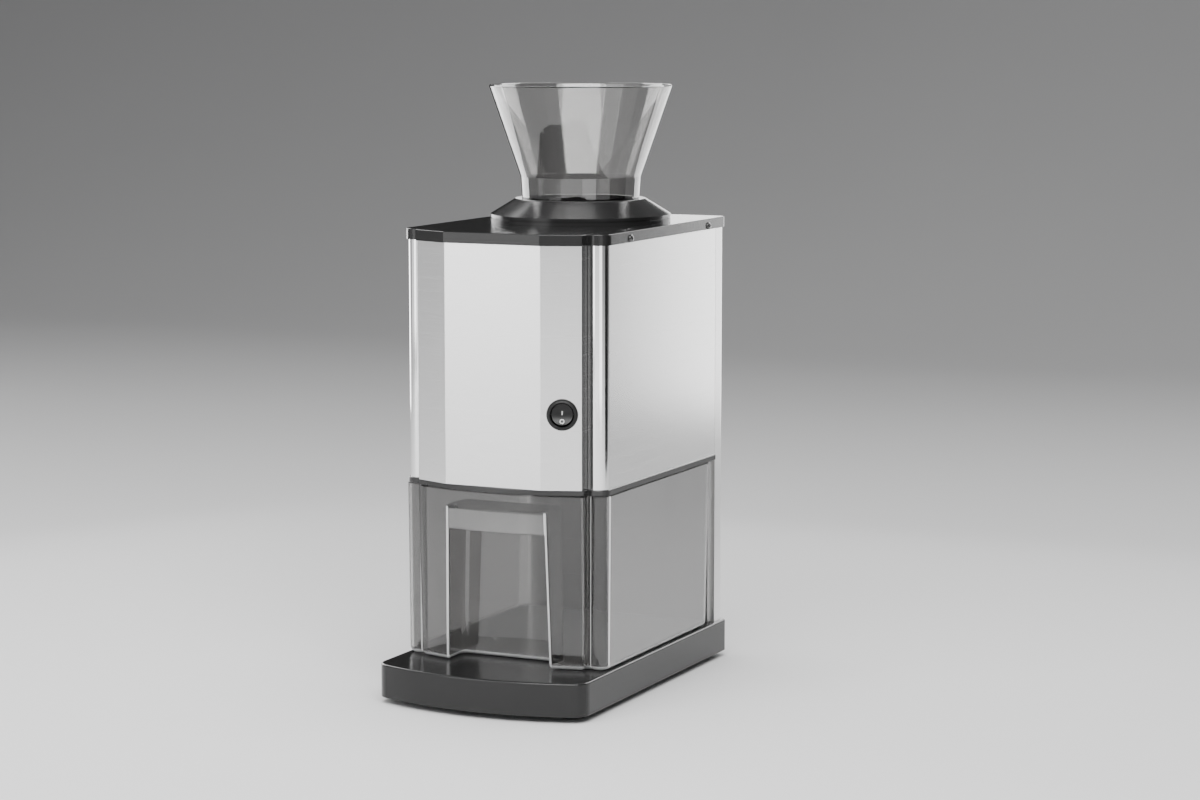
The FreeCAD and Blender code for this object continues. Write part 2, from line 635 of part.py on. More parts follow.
def niche(grow, z0, z1):
    """Block in the middle of the bin's front that widens downwards, with rounded back corners."""
    def half(z):
        share = (NICHE_TOP_Z - z) / (NICHE_TOP_Z - BIN_BOTTOM_Z)
        return NICHE_HALF_TOP + (NICHE_HALF_BOTTOM - NICHE_HALF_TOP) * share + grow

    corners = [(-half(z0), FRONT_Y, z0), (half(z0), FRONT_Y, z0), (half(z1), FRONT_Y, z1),
               (-half(z1), FRONT_Y, z1)]
    back = NICHE_BACK_Y + grow
    block = prism(corners, (0, back - FRONT_Y, 0))
    return rounded(block, NICHE_R + grow, lambda e: e.BoundBox.ZLength > 10 and e.BoundBox.YMin > back - 0.01)


def niche_foot():
    """Room of the niche below the lip, flared at the bin's underside so that the cut leaves a rounded edge."""
    room = niche(0, BIN_BOTTOM_Z - 1, LIP_BOTTOM_Z)
    below = box(-70.0, 70.0, FRONT_Y, NICHE_BACK_Y + 20.0, BIN_BOTTOM_Z - 5, BIN_BOTTOM_Z)

    def meets_floor(edge):
        size = edge.BoundBox
        reach = max(-size.XMin, size.XMax)
        return level_at(BIN_BOTTOM_Z, 0.05)(edge) and reach < 50.0 and size.YMax < NICHE_BACK_Y + 1
    return rounded(fuse(room, below), NICHE_HEEL_R, meets_floor)


def niche_mouth(outer):
    """The same room flared towards the bin's front face, which rounds the niche's sides and the lip."""
    room = niche(0, BIN_BOTTOM_Z - 1, LIP_BOTTOM_Z)
    ahead = box(-60.0, 60.0, FRONT_Y, -100.0, BIN_BOTTOM_Z + 0.01, BIN_TOP_Z - 5).cut(outer)

    def meets_face(edge):
        size = edge.BoundBox
        reach = max(-size.XMin, size.XMax)
        upright_side = size.ZLength > 60.0 and size.YMin > -108.0 and reach > 38.0
        return (upright_side or level_at(LIP_BOTTOM_Z, 0.05)(edge)) and size.YMax < -101.0 and reach < 46.0
    return rounded(fuse(room, ahead), NICHE_EDGE_R, meets_face)


def ice_bin():
    """Clear bin with a hand niche in its front and a finger lip hanging over the niche."""
    floor_z = BIN_BOTTOM_Z + BIN_FLOOR
    outer = rounded(drafted(BIN_BOTTOM_Z, BIN_TOP_Z, 0.0), BIN_HEEL_R, level_at(BIN_BOTTOM_Z, 0.05))
    inner = drafted(floor_z, BIN_TOP_Z + 1, BIN_WALL)
    inside = rounded(inner, BIN_HEEL_R - BIN_WALL, level_at(floor_z, 0.05))
    niche_shell = niche(BIN_WALL, BIN_BOTTOM_Z, NICHE_TOP_Z + BIN_WALL).common(outer)
    behind_lip = niche(0, LIP_BOTTOM_Z - 1, NICHE_TOP_Z).common(drafted(BIN_BOTTOM_Z, BIN_TOP_Z, BIN_WALL))
    tub = outer.cut(inside).fuse(niche_shell).cut(niche_foot()).cut(behind_lip)
    write("ice_bin", tub.removeSplitter().cut(niche_mouth(outer)).removeSplitter())


# ---------------------------------------------------------------- crusher
def chamber():
    """Cast box around the blades, the hood with the neck to the hopper, and the chute down to the plate."""
    half, wall = CHAMBER_HALF, CHAMBER_WALL
    y0, y1 = CHAMBER_FRONT_Y, CHAMBER_REAR_Y
    z0, z1 = CHAMBER_BOTTOM_Z, CHAMBER_TOP_Z
    inner = half - wall
    plate = z1 - wall
    edge = half + 9.0

    def ring(outer, z_low, z_high):
        """Square frame around the ice's way, as wide as outer at the sides and the back."""
        frame = rounded(box(-outer, outer, y0, y1 + outer - half, z_low, z_high), 6.0, upright)
        return frame.cut(box(-inner, inner, y0 + wall, y1 - wall, z_low - 1, z_high + 1))

    hub = rod(BEARING_R + 5, (0, y1 - 1, SHAFT_Z), (0, y1 + 7, SHAFT_Z))
    body = fuse(ring(half, z0, plate), ring(edge, z0, z0 + 5), hub)
    front_seat = rod(BEARING_R, (0, y0 - 1, SHAFT_Z), (0, y0 + wall + 1, SHAFT_Z))
    rear_seat = rod(BEARING_R, (0, y1 - wall - 1, SHAFT_Z), (0, y1 + 5, SHAFT_Z))
    rear_hole = rod(SHAFT_R + 3, (0, y1, SHAFT_Z), (0, y1 + 8, SHAFT_Z))
    comb_ys = [HOPPER_Y + dy for dy in COMB_SCREW_OFFSETS]
    comb_holes = [rod(COMB_HOLE_R, (side * (inner - 1), y, COMB_Z), (side * (half + 1), y, COMB_Z))
                  for side in (-1, 1) for y in comb_ys]
    bolt_holes = [rod(2.7, (x, y, HOUSING_BOTTOM_Z - 1), (x, y, z0 + 6)) for x, y in CHAMBER_BOLTS]
    holes = [front_seat, rear_seat, rear_hole] + comb_holes + bolt_holes
    write("crusher_chamber", body.cut(Part.makeCompound(holes)))

    top = rounded(box(-half, half, y0, y1, plate, z1), 6.0, upright)
    neck = rod(NECK_R + 4.0, (0, HOPPER_Y, z1 - 1), (0, HOPPER_Y, NECK_TOP_Z))
    throat = rod(NECK_R - 1.0, (0, HOPPER_Y, plate - 1), (0, HOPPER_Y, NECK_TOP_Z + 1))
    write("chamber_hood", fuse(top, neck).cut(throat))

    sole = HOUSING_BOTTOM_Z + 3.0
    foot = HOUSING_BOTTOM_Z
    chute = fuse(ring(half, foot, z0), ring(edge, z0 - 3.0, z0), ring(edge, foot, sole))
    write("outlet_chute", chute.cut(Part.makeCompound(bolt_holes)))
    bolts = []
    for x, y in CHAMBER_BOLTS:
        shank = rod(2.5, (x, y, z0 - 8.0), (x, y, z0 + 5.0))
        head = rod(4.2, (x, y, z0 + 5.0), (x, y, z0 + 8.5))
        nut = rod(4.2, (x, y, z0 - 7.0), (x, y, z0 - 3.0))
        bolts.append(fuse(shank, head, nut))
    write("chamber_bolts", *bolts)


def combs():
    """Fixed breaker combs bolted to the chamber's side walls; the blades pass between their fingers."""
    x_wall = CHAMBER_HALF - CHAMBER_WALL
    z0, z1 = COMB_Z - 6.0, COMB_Z + 6.0
    bar = box(x_wall - 4.0, x_wall, HOPPER_Y - 38.0, HOPPER_Y + 38.0, z0, z1)
    ys = [HOPPER_Y + BLADE_PITCH * (k - BLADE_COUNT / 2) for k in range(BLADE_COUNT + 1)]
    fingers = [box(COMB_TIP_X, x_wall - 3.0, y - 2.0, y + 2.0, z0, z1) for y in ys]
    comb = fuse(bar, *fingers)
    bevel = prism([(COMB_TIP_X - 1, 0, z0 - 1), (COMB_TIP_X + 10, 0, z0 - 1), (COMB_TIP_X, 0, z1 + 1),
                   (COMB_TIP_X - 1, 0, z1 + 1)], (0, 100, 0))
    comb = comb.cut(bevel)
    screw_ys = [HOPPER_Y + dy for dy in COMB_SCREW_OFFSETS]
    sockets = [rod(M4_R, (x_wall - 5, y, COMB_Z), (x_wall + 1, y, COMB_Z)) for y in screw_ys]
    comb = comb.cut(Part.makeCompound(sockets))
    write("breaker_comb_right", comb)
    write("breaker_comb_left", mirrored(comb))
    screws = []
    for y in screw_ys:
        profile = [(0, x_wall - 4.0), (M4_R, x_wall - 4.0), (M4_R, CHAMBER_HALF), (4.0, CHAMBER_HALF),
                   (4.0, CHAMBER_HALF + 3.5), (0, CHAMBER_HALF + 3.5)]
        face = polygon([(x, y, COMB_Z + r) for r, x in profile])
        screws.append(face.revolve(Vector(0, y, COMB_Z), X_AXIS, 360))
    write("comb_screws", *(screws + [mirrored(s) for s in screws]))


def crusher():
    """Hexagonal shaft with its blades and spacers, and the two bearings it turns in."""
    front_end = GEARCASE_REAR_Y - GEARCASE_WALL - 13.0
    rear_end = CHAMBER_REAR_Y + 4.5
    hex0, hex1 = CHAMBER_FRONT_Y + 5.6, CHAMBER_REAR_Y - 5.6
    chamfer_r = SHAFT_R - 0.8
    journals = turned_y([(0, front_end), (chamfer_r, front_end), (SHAFT_R, front_end + 0.8),
                         (SHAFT_R, rear_end - 0.8), (chamfer_r, rear_end), (0, rear_end)], 0, SHAFT_Z)
    write("crusher_shaft", fuse(journals, hexagon_y(HEX_FLATS, 0, SHAFT_Z, hex0, hex1)))

    first = HOPPER_Y - BLADE_PITCH * (BLADE_COUNT - 1) / 2
    blade_ys = [first + BLADE_PITCH * k for k in range(BLADE_COUNT)]
    write("crusher_blades", *[blade(y, BLADE_STAGGER * k) for k, y in enumerate(blade_ys)])

    starts = [hex0 + 0.2] + [y + BLADE_THICKNESS / 2 for y in blade_ys]
    ends = [y - BLADE_THICKNESS / 2 for y in blade_ys] + [hex1 - 0.2]
    spacers = []
    for y0, y1 in zip(starts, ends):
        ring = rod(SPACER_R, (0, y0, SHAFT_Z), (0, y1, SHAFT_Z))
        spacers.append(ring.cut(hexagon_y(HEX_FLATS, 0, SHAFT_Z, y0 - 1, y1 + 1)))
    write("blade_spacers", *spacers)

    inner_r = SHAFT_R + RUNNING
    y0, y1 = CHAMBER_FRONT_Y, CHAMBER_REAR_Y
    front = tube(BEARING_R, inner_r, (0, y0, SHAFT_Z), (0, y0 + CHAMBER_WALL, SHAFT_Z))
    rear = tube(BEARING_R, inner_r, (0, y1 - CHAMBER_WALL, SHAFT_Z), (0, y1 + 3.0, SHAFT_Z))
    write("shaft_bearings", front, rear)


def blade(y, turn):
    """Crusher blade with hooked arms, standing at y, on the shaft's hexagon."""
    arms = []
    for k in range(BLADE_ARMS):
        a = 360.0 / BLADE_ARMS * k + turn
        points = [(-7.0, 0), (7.5, 0), (7.5, 22.0), (9.5, 31.0), (9.0, BLADE_TIP_R - 1.8),
                  (2.0, BLADE_TIP_R - 5.0), (-3.5, 26.0)]
        corners = [(px, y - BLADE_THICKNESS / 2, SHAFT_Z + pz) for px, pz in points]
        arm = prism(corners, (0, BLADE_THICKNESS, 0))
        arms.append(spun(arm, (0, y, SHAFT_Z), Y_AXIS, a))
    hub = rod(14.0, (0, y - BLADE_THICKNESS / 2, SHAFT_Z), (0, y + BLADE_THICKNESS / 2, SHAFT_Z))
    body = fuse(hub, *arms)
    return body.cut(hexagon_y(HEX_FLATS, 0, SHAFT_Z, y - 3, y + 3))


# ---------------------------------------------------------------- gear train and motor
def gear(module, teeth, z, y0, y1, bore, tooth_up):
    """Spur gear about the line along Y at height z; a tooth or a gap points along tooth_up * Z."""
    pitch_r = module * teeth / 2
    base_r = pitch_r * math.cos(PRESSURE_ANGLE)
    tip_r = pitch_r + ADDENDUM * module
    root_r = pitch_r - DEDENDUM * module

    def involute(r):
        t = math.sqrt(max((r / base_r) ** 2 - 1.0, 0.0))
        return t - math.atan(t)

    half_tooth = (math.pi * module / 2 - BACKLASH) / (2 * pitch_r)
    flank = []
    start_r = max(base_r, root_r + 0.05)
    for k in range(4):
        r = start_r + (tip_r - start_r) * k / 3
        flank.append((r, half_tooth + involute(pitch_r) - involute(r)))
    root = [(root_r, flank[0][1] + 0.25 * (math.pi / teeth - flank[0][1]))]
    points = []
    for k in range(teeth):
        middle = math.radians(tooth_up) + 2 * math.pi * k / teeth
        side = root + flank
        for r, a in side:
            points.append((r * math.sin(middle - a), y0, z + r * math.cos(middle - a)))
        for r, a in reversed(side):
            points.append((r * math.sin(middle + a), y0, z + r * math.cos(middle + a)))
    wheel = prism(points, (0, y1 - y0, 0))
    return wheel.cut(rod(bore, (0, y0 - 1, z), (0, y1 + 1, z)))


def gear_train():
    """Drive gear on the blade shaft, compound idler and its pin, motor pinion."""
    rear = GEARCASE_REAR_Y - GEARCASE_WALL
    drive_y = (rear - 11.5, rear - 1.5)
    input_y = (rear - 21.5, rear - 14.5)
    drive = gear(DRIVE_MODULE, DRIVE_TEETH, SHAFT_Z, *drive_y, SHAFT_R, 0.0)
    window = rod(6.0, (0, drive_y[0] - 1, SHAFT_Z + 18.0), (0, drive_y[1] + 1, SHAFT_Z + 18.0))
    windows = [spun(window, (0, 0, SHAFT_Z), Y_AXIS, 36 + 72 * k) for k in range(5)]
    write("drive_gear", drive.cut(Part.makeCompound(windows)))

    bore = IDLER_PIN_R + RUNNING
    gap_below = 180.0 + 180.0 / IDLER_PINION_TEETH
    pinion = gear(DRIVE_MODULE, IDLER_PINION_TEETH, IDLER_Z, rear - 12.5, rear - 1.0, bore, gap_below)
    collar = tube(6.2, bore, (0, input_y[1], IDLER_Z), (0, rear - 12.5, IDLER_Z))
    wheel = gear(INPUT_MODULE, IDLER_TEETH, IDLER_Z, *input_y, bore, 180.0)
    write("idler_gear", fuse(pinion, collar, wheel))
    pin = rod(IDLER_PIN_R, (0, COVER_FRONT_Y + 1.0, IDLER_Z), (0, GEARCASE_REAR_Y - 0.5, IDLER_Z))
    write("idler_pin", pin)

    gap_above = 180.0 / MOTOR_PINION_TEETH
    motor_pinion = gear(INPUT_MODULE, MOTOR_PINION_TEETH, MOTOR_Z, input_y[0] - 1.0, input_y[1] + 0.8,
                        MOTOR_SHAFT_R, gap_above)
    write("motor_pinion", motor_pinion)


def gearcase():
    """Gearbox housing on the chamber's front wall, its cover and the cover screws."""
    rear, front = GEARCASE_REAR_Y, GEARCASE_FRONT_Y

    def plan(r_low, r_high, y0, y1):
        low = rod(r_low, (0, y0, SHAFT_Z), (0, y1, SHAFT_Z))
        high = rod(r_high, (0, y0, IDLER_Z), (0, y1, IDLER_Z))
        lean = math.asin((r_low - r_high) / (IDLER_Z - SHAFT_Z))
        x_low, z_low = r_low * math.cos(lean), SHAFT_Z + r_low * math.sin(lean)
        x_high, z_high = r_high * math.cos(lean), IDLER_Z + r_high * math.sin(lean)
        web = prism([(-x_low, y0, z_low), (x_low, y0, z_low), (x_high, y0, z_high), (-x_high, y0, z_high)],
                    (0, y1 - y0, 0))
        return fuse(low, high, web)

    wall = GEARCASE_WALL
    tap_r = 1.9
    r_low = DRIVE_MODULE * DRIVE_TEETH / 2 + 3.5
    r_high = INPUT_MODULE * IDLER_TEETH / 2 + 3.5
    ears = [(x, z) for z, reach in ((236.0, 31.0), (306.0, 30.0)) for x in (-reach, reach)]
    lobes = [rod(5.0, (x, front, z), (x, rear, z)) for x, z in ears]
    case = fuse(plan(r_low + wall, r_high + wall, front, rear), *lobes)
    case = case.cut(plan(r_low, r_high, front - 1, rear - wall))
    seat = rod(SHAFT_R + 3.0, (0, rear - wall - 1, SHAFT_Z), (0, rear + 1, SHAFT_Z))
    pin_seat = rod(IDLER_PIN_R, (0, rear - wall - 1, IDLER_Z), (0, rear - 0.5, IDLER_Z))
    taps = [rod(tap_r, (x, front - 1, z), (x, rear - 4, z)) for x, z in ears]
    write("gearcase", case.cut(Part.makeCompound([seat, pin_seat] + taps)))

    lobes = [rod(5.0, (x, COVER_FRONT_Y, z), (x, front, z)) for x, z in ears]
    plate = fuse(plan(r_low + wall, r_high + wall, COVER_FRONT_Y, front), *lobes)
    cuts = [rod(tap_r, (x, COVER_FRONT_Y - 1, z), (x, front + 1, z)) for x, z in ears]
    cuts.append(rod(MOTOR_NOSE_R, (0, COVER_FRONT_Y - 1, MOTOR_Z), (0, front + 1, MOTOR_Z)))
    cuts.append(rod(IDLER_PIN_R, (0, COVER_FRONT_Y + 1.0, IDLER_Z), (0, front + 1, IDLER_Z)))
    write("gearcase_cover", plate.cut(Part.makeCompound(cuts)))
    screws = []
    for x, z in ears:
        screws.append(turned_y([(0, COVER_FRONT_Y - 2.6), (3.4, COVER_FRONT_Y - 2.6), (3.4, COVER_FRONT_Y),
                                (1.85, COVER_FRONT_Y), (1.85, rear - 6), (0, rear - 5)], x, z))
    write("gearcase_screws", *screws)


def motor():
    """Motor can with its end bell, magnets, shaft, armature and cooling fan."""
    y0, y1 = MOTOR_FRONT_Y + 12.0, COVER_FRONT_Y
    axis = (0, 0, MOTOR_Z)
    inner = MOTOR_R - MOTOR_WALL
    running = MOTOR_SHAFT_R + RUNNING
    can = turned_y([(MOTOR_R, y0), (MOTOR_R, y1), (MOTOR_NOSE_R, y1), (MOTOR_NOSE_R, y1 - MOTOR_WALL),
                    (inner, y1 - MOTOR_WALL), (inner, y0)], 0, MOTOR_Z)
    write("motor_can", can)
    sector = box(-24.0, 24.0, y0 + 6, y1 - 8, MOTOR_Z + 14.0, MOTOR_Z + 34.0)
    ring = tube(inner, inner - 5.0, (0, y0 + 6, MOTOR_Z), (0, y1 - 8, MOTOR_Z))
    magnet = ring.common(sector)
    write("motor_magnets", magnet, spun(magnet, axis, Y_AXIS, 180))

    hub_r = 9.0
    spigot = inner - 0.1
    bell = turned_y([(running, y0 - 4.0), (hub_r, y0 - 4.0), (hub_r, y0 - 2.5), (MOTOR_R, y0 - 2.5),
                     (MOTOR_R, y0), (spigot, y0), (spigot, y0 + 3.0), (spigot - 2.9, y0 + 3.0),
                     (spigot - 2.9, y0), (hub_r, y0), (hub_r, y0 + 4.0), (running, y0 + 4.0)], 0, MOTOR_Z)
    slot = box(-2.0, 2.0, y0 - 4, y0 + 1, MOTOR_Z + 13.0, MOTOR_Z + 23.0)
    slots = [spun(slot, axis, Y_AXIS, 45.0 * k) for k in range(8)]
    write("motor_end_bell", bell.cut(Part.makeCompound(slots)))

    nose = turned_y([(running, y1 - 6.0), (hub_r, y1 - 6.0), (hub_r, y1 - MOTOR_WALL),
                     (MOTOR_NOSE_R, y1 - MOTOR_WALL), (MOTOR_NOSE_R, GEARCASE_FRONT_Y),
                     (running, GEARCASE_FRONT_Y)], 0, MOTOR_Z)
    write("motor_nose_bearing", nose)

    shaft_end = GEARCASE_REAR_Y - GEARCASE_WALL - 13.2
    write("motor_shaft", rod(MOTOR_SHAFT_R, (0, MOTOR_FRONT_Y, MOTOR_Z), (0, shaft_end, MOTOR_Z)))
    core = rod(ARMATURE_R, (0, y0 + 8, MOTOR_Z), (0, y1 - 11, MOTOR_Z))
    groove = box(-1.2, 1.2, y0, y1, MOTOR_Z + 13.0, MOTOR_Z + ARMATURE_R + 1)
    cuts = [spun(groove, axis, Y_AXIS, 360.0 / ARMATURE_SLOTS * k) for k in range(ARMATURE_SLOTS)]
    cuts.append(rod(MOTOR_SHAFT_R, (0, y0, MOTOR_Z), (0, y1, MOTOR_Z)))
    write("motor_armature", core.cut(Part.makeCompound(cuts)))

    f0, f1 = MOTOR_FRONT_Y, MOTOR_FRONT_Y + 7.0
    hub = rod(6.0, (0, f0, MOTOR_Z), (0, f1, MOTOR_Z))
    disc = rod(FAN_R, (0, f1 - 1.4, MOTOR_Z), (0, f1, MOTOR_Z))
    vane = box(-0.7, 0.7, f0 + 1.0, f1, MOTOR_Z + 5.0, MOTOR_Z + FAN_R)
    vanes = [spun(vane, axis, Y_AXIS, 360.0 / FAN_VANES * k) for k in range(FAN_VANES)]
    bore = rod(MOTOR_SHAFT_R, (0, f0 - 1, MOTOR_Z), (0, f1 + 1, MOTOR_Z))
    write("motor_fan", fuse(hub, disc, *vanes).cut(bore))


# ---------------------------------------------------------------- switch
def switch_frame():
    """Centre of the switch on the right facet's outer face, and the facet's outward direction."""
    run = Vector(FACET_END[0] - FACET_BREAK_X, FACET_END[1] - HOUSING_FRONT_Y, 0)
    share = (SWITCH_X - FACET_BREAK_X) / run.x
    centre = Vector(SWITCH_X, HOUSING_FRONT_Y + run.y * share, SWITCH_Z)
    normal = Vector(run.y, -run.x, 0).normalize()
    return centre, normal


def on_facet(shape):
    """Shape drawn about the origin with +Z outward and +Y up, moved to the switch's place."""
    centre, normal = switch_frame()
    across = Z_AXIS.cross(normal)
    matrix = FreeCAD.Matrix(across.x, 0, normal.x, centre.x, across.y, 0, normal.y, centre.y,
                            across.z, 1, normal.z, centre.z, 0, 0, 0, 1)
    placed = shape.copy()
    placed.Placement = FreeCAD.Placement(matrix).multiply(shape.Placement)
    return placed


def switch():
    """Round rocker switch: collar, barrel behind the panel, terminals and the rocker."""
    collar = turned([(BEZEL_BORE_R, 0.0), (BEZEL_R, 0.0), (BEZEL_R, 0.9), (BEZEL_R - 1.1, 2.1),
                     (BEZEL_BORE_R + 0.5, 2.5), (BEZEL_BORE_R, 2.1)], 0, 0)
    write("switch_bezel", on_facet(collar))

    barrel = tube(SWITCH_BARREL_R, BEZEL_BORE_R, (0, 0, -13.0), (0, 0, 0))
    floor = rod(SWITCH_BARREL_R, (0, 0, -16.0), (0, 0, -13.0))
    tabs = [box(x - 0.4, x + 0.4, -2.4, 2.4, -24.0, -15.5) for x in (-4.0, 4.0)]
    reach = SWITCH_BARREL_R + 1
    pivot_bore = rod(PIVOT_R + RUNNING, (-reach, 0, PIVOT_DEPTH), (reach, 0, PIVOT_DEPTH))
    write("switch_body", on_facet(fuse(barrel, floor, *tabs).cut(pivot_bore)))

    button = rod(ROCKER_R, (0, 0, -6.0), (0, 0, 6.0))
    dish_z = 1.0 + ROCKER_DISH_R
    button = button.cut(rod(ROCKER_DISH_R, (-20, 0, dish_z), (20, 0, dish_z)))
    skirt = box(-5.0, 5.0, -4.5, 4.5, -9.0, -5.0)
    pin_end = SWITCH_BARREL_R - 0.3
    pins = rod(PIVOT_R, (-pin_end, 0, PIVOT_DEPTH), (pin_end, 0, PIVOT_DEPTH))
    button = spun(fuse(button, skirt, pins), (0, 0, PIVOT_DEPTH), X_AXIS, ROCKER_TILT)
    write("switch_rocker", on_facet(button))


def main():
    os.makedirs("parts", exist_ok=True)
    base()
    spine()
    front_panel()
    corner_posts()
    side_panels()
    bottom_plate()
    lid()
    hopper()
    ice_bin()
    chamber()
    combs()
    crusher()
    gear_train()
    gearcase()
    motor()
    switch()


main()
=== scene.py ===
"""Looks for the electric ice crusher, in metres: materials, the switch's signs, floor, lights and camera."""
import json
import math

import bmesh
import bpy
from mathutils import Matrix, Vector


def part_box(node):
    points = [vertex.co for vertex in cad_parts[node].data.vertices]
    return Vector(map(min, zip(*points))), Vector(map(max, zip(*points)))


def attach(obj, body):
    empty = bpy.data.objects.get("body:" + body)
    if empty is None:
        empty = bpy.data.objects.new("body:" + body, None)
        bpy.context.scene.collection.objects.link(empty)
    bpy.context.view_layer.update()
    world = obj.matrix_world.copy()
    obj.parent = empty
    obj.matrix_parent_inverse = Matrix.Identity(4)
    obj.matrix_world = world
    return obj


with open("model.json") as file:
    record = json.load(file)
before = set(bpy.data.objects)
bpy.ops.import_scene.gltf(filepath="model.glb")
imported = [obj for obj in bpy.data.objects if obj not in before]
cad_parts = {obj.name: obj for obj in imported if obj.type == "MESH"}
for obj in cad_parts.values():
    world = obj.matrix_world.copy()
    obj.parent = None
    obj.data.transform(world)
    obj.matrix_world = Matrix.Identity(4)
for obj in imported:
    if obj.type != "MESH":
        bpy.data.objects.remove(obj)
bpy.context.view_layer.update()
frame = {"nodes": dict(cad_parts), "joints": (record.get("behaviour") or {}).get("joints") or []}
nodes = frame["nodes"]
MM = 0.001


# ---------------------------------------------------------------- node helpers
class Shader:
    """Short way to build a node material round one Principled shader."""

    def __init__(self, name):
        self.material = bpy.data.materials.new(name)
        self.material.use_nodes = True
        self.tree = self.material.node_tree
        self.tree.nodes.clear()
        self.output = self.add("ShaderNodeOutputMaterial")
        self.bsdf = self.add("ShaderNodeBsdfPrincipled")
        self.link(self.bsdf.outputs[0], self.output.inputs[0])
        self.place = self.add("ShaderNodeTexCoord").outputs["Object"]

    def add(self, kind, **settings):
        node = self.tree.nodes.new(kind)
        for key, value in settings.items():
            setattr(node, key, value)
        return node

    def link(self, out, into):
        self.tree.links.new(out, into)

    def set(self, **values):
        """Constants on the main shader; underscores stand for spaces."""
        for key, value in values.items():
            self.bsdf.inputs[key.replace("_", " ")].default_value = value

    def feed(self, **outs):
        """Node outputs into the main shader; underscores stand for spaces."""
        for key, out in outs.items():
            self.link(out, self.bsdf.inputs[key.replace("_", " ")])

    def axes(self):
        """Object coordinates as three single values."""
        node = self.add("ShaderNodeSeparateXYZ")
        self.link(self.place, node.inputs[0])
        return tuple(node.outputs)

    def scaled(self, x, y, z):
        """Object coordinates stretched per axis."""
        node = self.add("ShaderNodeMapping")
        node.inputs["Scale"].default_value = (x, y, z)
        self.link(self.place, node.inputs["Vector"])
        return node.outputs[0]

    def noise(self, scale, detail=3.0, roughness=0.55, vector=None):
        node = self.add("ShaderNodeTexNoise")
        node.inputs["Scale"].default_value = scale
        node.inputs["Detail"].default_value = detail
        node.inputs["Roughness"].default_value = roughness
        self.link(vector or self.place, node.inputs["Vector"])
        return node.outputs["Fac"]

    def ramp(self, value, low, high, start=0.0, end=1.0):
        """Value mapped from start..end to low..high, and held there beyond."""
        node = self.add("ShaderNodeMapRange")
        node.inputs["From Min"].default_value = start
        node.inputs["From Max"].default_value = end
        node.inputs["To Min"].default_value = low
        node.inputs["To Max"].default_value = high
        self.link(value, node.inputs["Value"])
        return node.outputs["Result"]

    def colours(self, value, *stops):
        """Colour ramp with (place, (r, g, b)) stops."""
        node = self.add("ShaderNodeValToRGB")
        elements = node.color_ramp.elements
        for element, (at, colour) in zip(elements, stops):
            element.position = at
            element.color = (*colour, 1.0)
        self.link(value, node.inputs["Fac"])
        return node.outputs["Color"]

    def maths(self, operation, a, b=0.0):
        node = self.add("ShaderNodeMath", operation=operation)
        for socket, value in zip(node.inputs, (a, b)):
            if isinstance(value, (int, float)):
                socket.default_value = value
            else:
                self.link(value, socket)
        return node.outputs[0]

    def product(self, first, *others):
        for value in others:
            first = self.maths("MULTIPLY", first, value)
        return first

    def mixed(self, factor, a, b):
        """Colour a where the factor is 0, b where it is 1."""
        node = self.add("ShaderNodeMix", data_type="RGBA")
        for socket, value in zip((node.inputs[0], node.inputs[6], node.inputs[7]), (factor, a, b)):
            self.link(value, socket)
        return node.outputs[2]

    def below(self, value, limit, soft):
        """1 where the value is below the limit, 0 above it, with a soft step between."""
        return self.ramp(value, 1.0, 0.0, limit - soft, limit + soft)

    def band(self, value, middle, half):
        """1 near the middle value, falling to 0 at half on either side."""
        off = self.maths("ABSOLUTE", self.maths("SUBTRACT", value, middle))
        return self.ramp(off, 1.0, 0.0, half * 0.6, half)

    def bump(self, height, distance, strength=1.0):
        node = self.add("ShaderNodeBump")
        node.inputs["Distance"].default_value = distance
        node.inputs["Strength"].default_value = strength
        self.link(height, node.inputs["Height"])
        self.feed(Normal=node.outputs[0])


def grey(value, warm=0.0):
    return (value * (1 + warm), value, value * (1 - warm))


# ---------------------------------------------------------------- materials
def moulded_black(name, tone, roughness, grain=0.04 * MM, specular=0.5):
    """Injection-moulded black plastic with a fine spark-eroded grain and faint handling marks."""
    s = Shader(name)
    fine = s.noise(2600.0, detail=2.0)
    patch = s.noise(14.0, detail=4.0)
    scuff = s.noise(60.0, detail=6.0, roughness=0.7)
    gloss = s.ramp(fine, roughness - 0.04, roughness + 0.04)
    s.feed(Base_Color=s.colours(patch, (0.35, grey(tone * 0.95)), (0.65, grey(tone * 1.05))),
           Roughness=s.maths("ADD", gloss, s.ramp(scuff, -0.008, 0.012, 0.4, 0.7)))
    s.bump(fine, grain)
    s.set(Specular_IOR_Level=specular, IOR=1.5)
    return s.material


def brushed_steel(name, tone=0.8, roughness=0.26, painted_shade_beyond=None):
    """Stainless sheet brushed level: hairline streaks in tone, gloss and height, and faint rolling bands.

    Farther out to either side than the limit passed in, where the sheet folds over, its colour is painted
    dark as shade in the gap beside the corner posts.
    """
    s = Shader(name)
    warm, hem_edge = 0.002, 0.2 * MM
    streaks = s.noise(1.0, detail=4.0, roughness=0.65, vector=s.scaled(40.0, 40.0, 3600.0))
    bands = s.noise(1.0, detail=3.0, roughness=0.6, vector=s.scaled(5.0, 5.0, 420.0))
    cloud = s.noise(7.0)
    both = s.maths("ADD", s.product(streaks, 0.65), s.product(bands, 0.35))
    colour = s.colours(both, (0.38, grey(tone * 0.98, warm)), (0.62, grey(tone * 1.015, warm)))
    if painted_shade_beyond:
        # Painted shade: the folded edges are dark, as the gaps beside the corner posts are.
        shaded_hem = s.ramp(s.maths("ABSOLUTE", s.axes()[0]), 0.0, 1.0, painted_shade_beyond, painted_shade_beyond + hem_edge)
        colour = s.mixed(shaded_hem, colour, s.colours(streaks, (0.3, grey(0.04)), (0.7, grey(0.06))))
    gloss = s.ramp(both, roughness - 0.02, roughness + 0.02, 0.35, 0.65)
    s.feed(Base_Color=colour, Roughness=s.maths("ADD", gloss, s.ramp(cloud, -0.006, 0.008)))
    s.bump(streaks, 0.004 * MM, strength=0.25)
    s.set(Metallic=1.0)
    return s.material


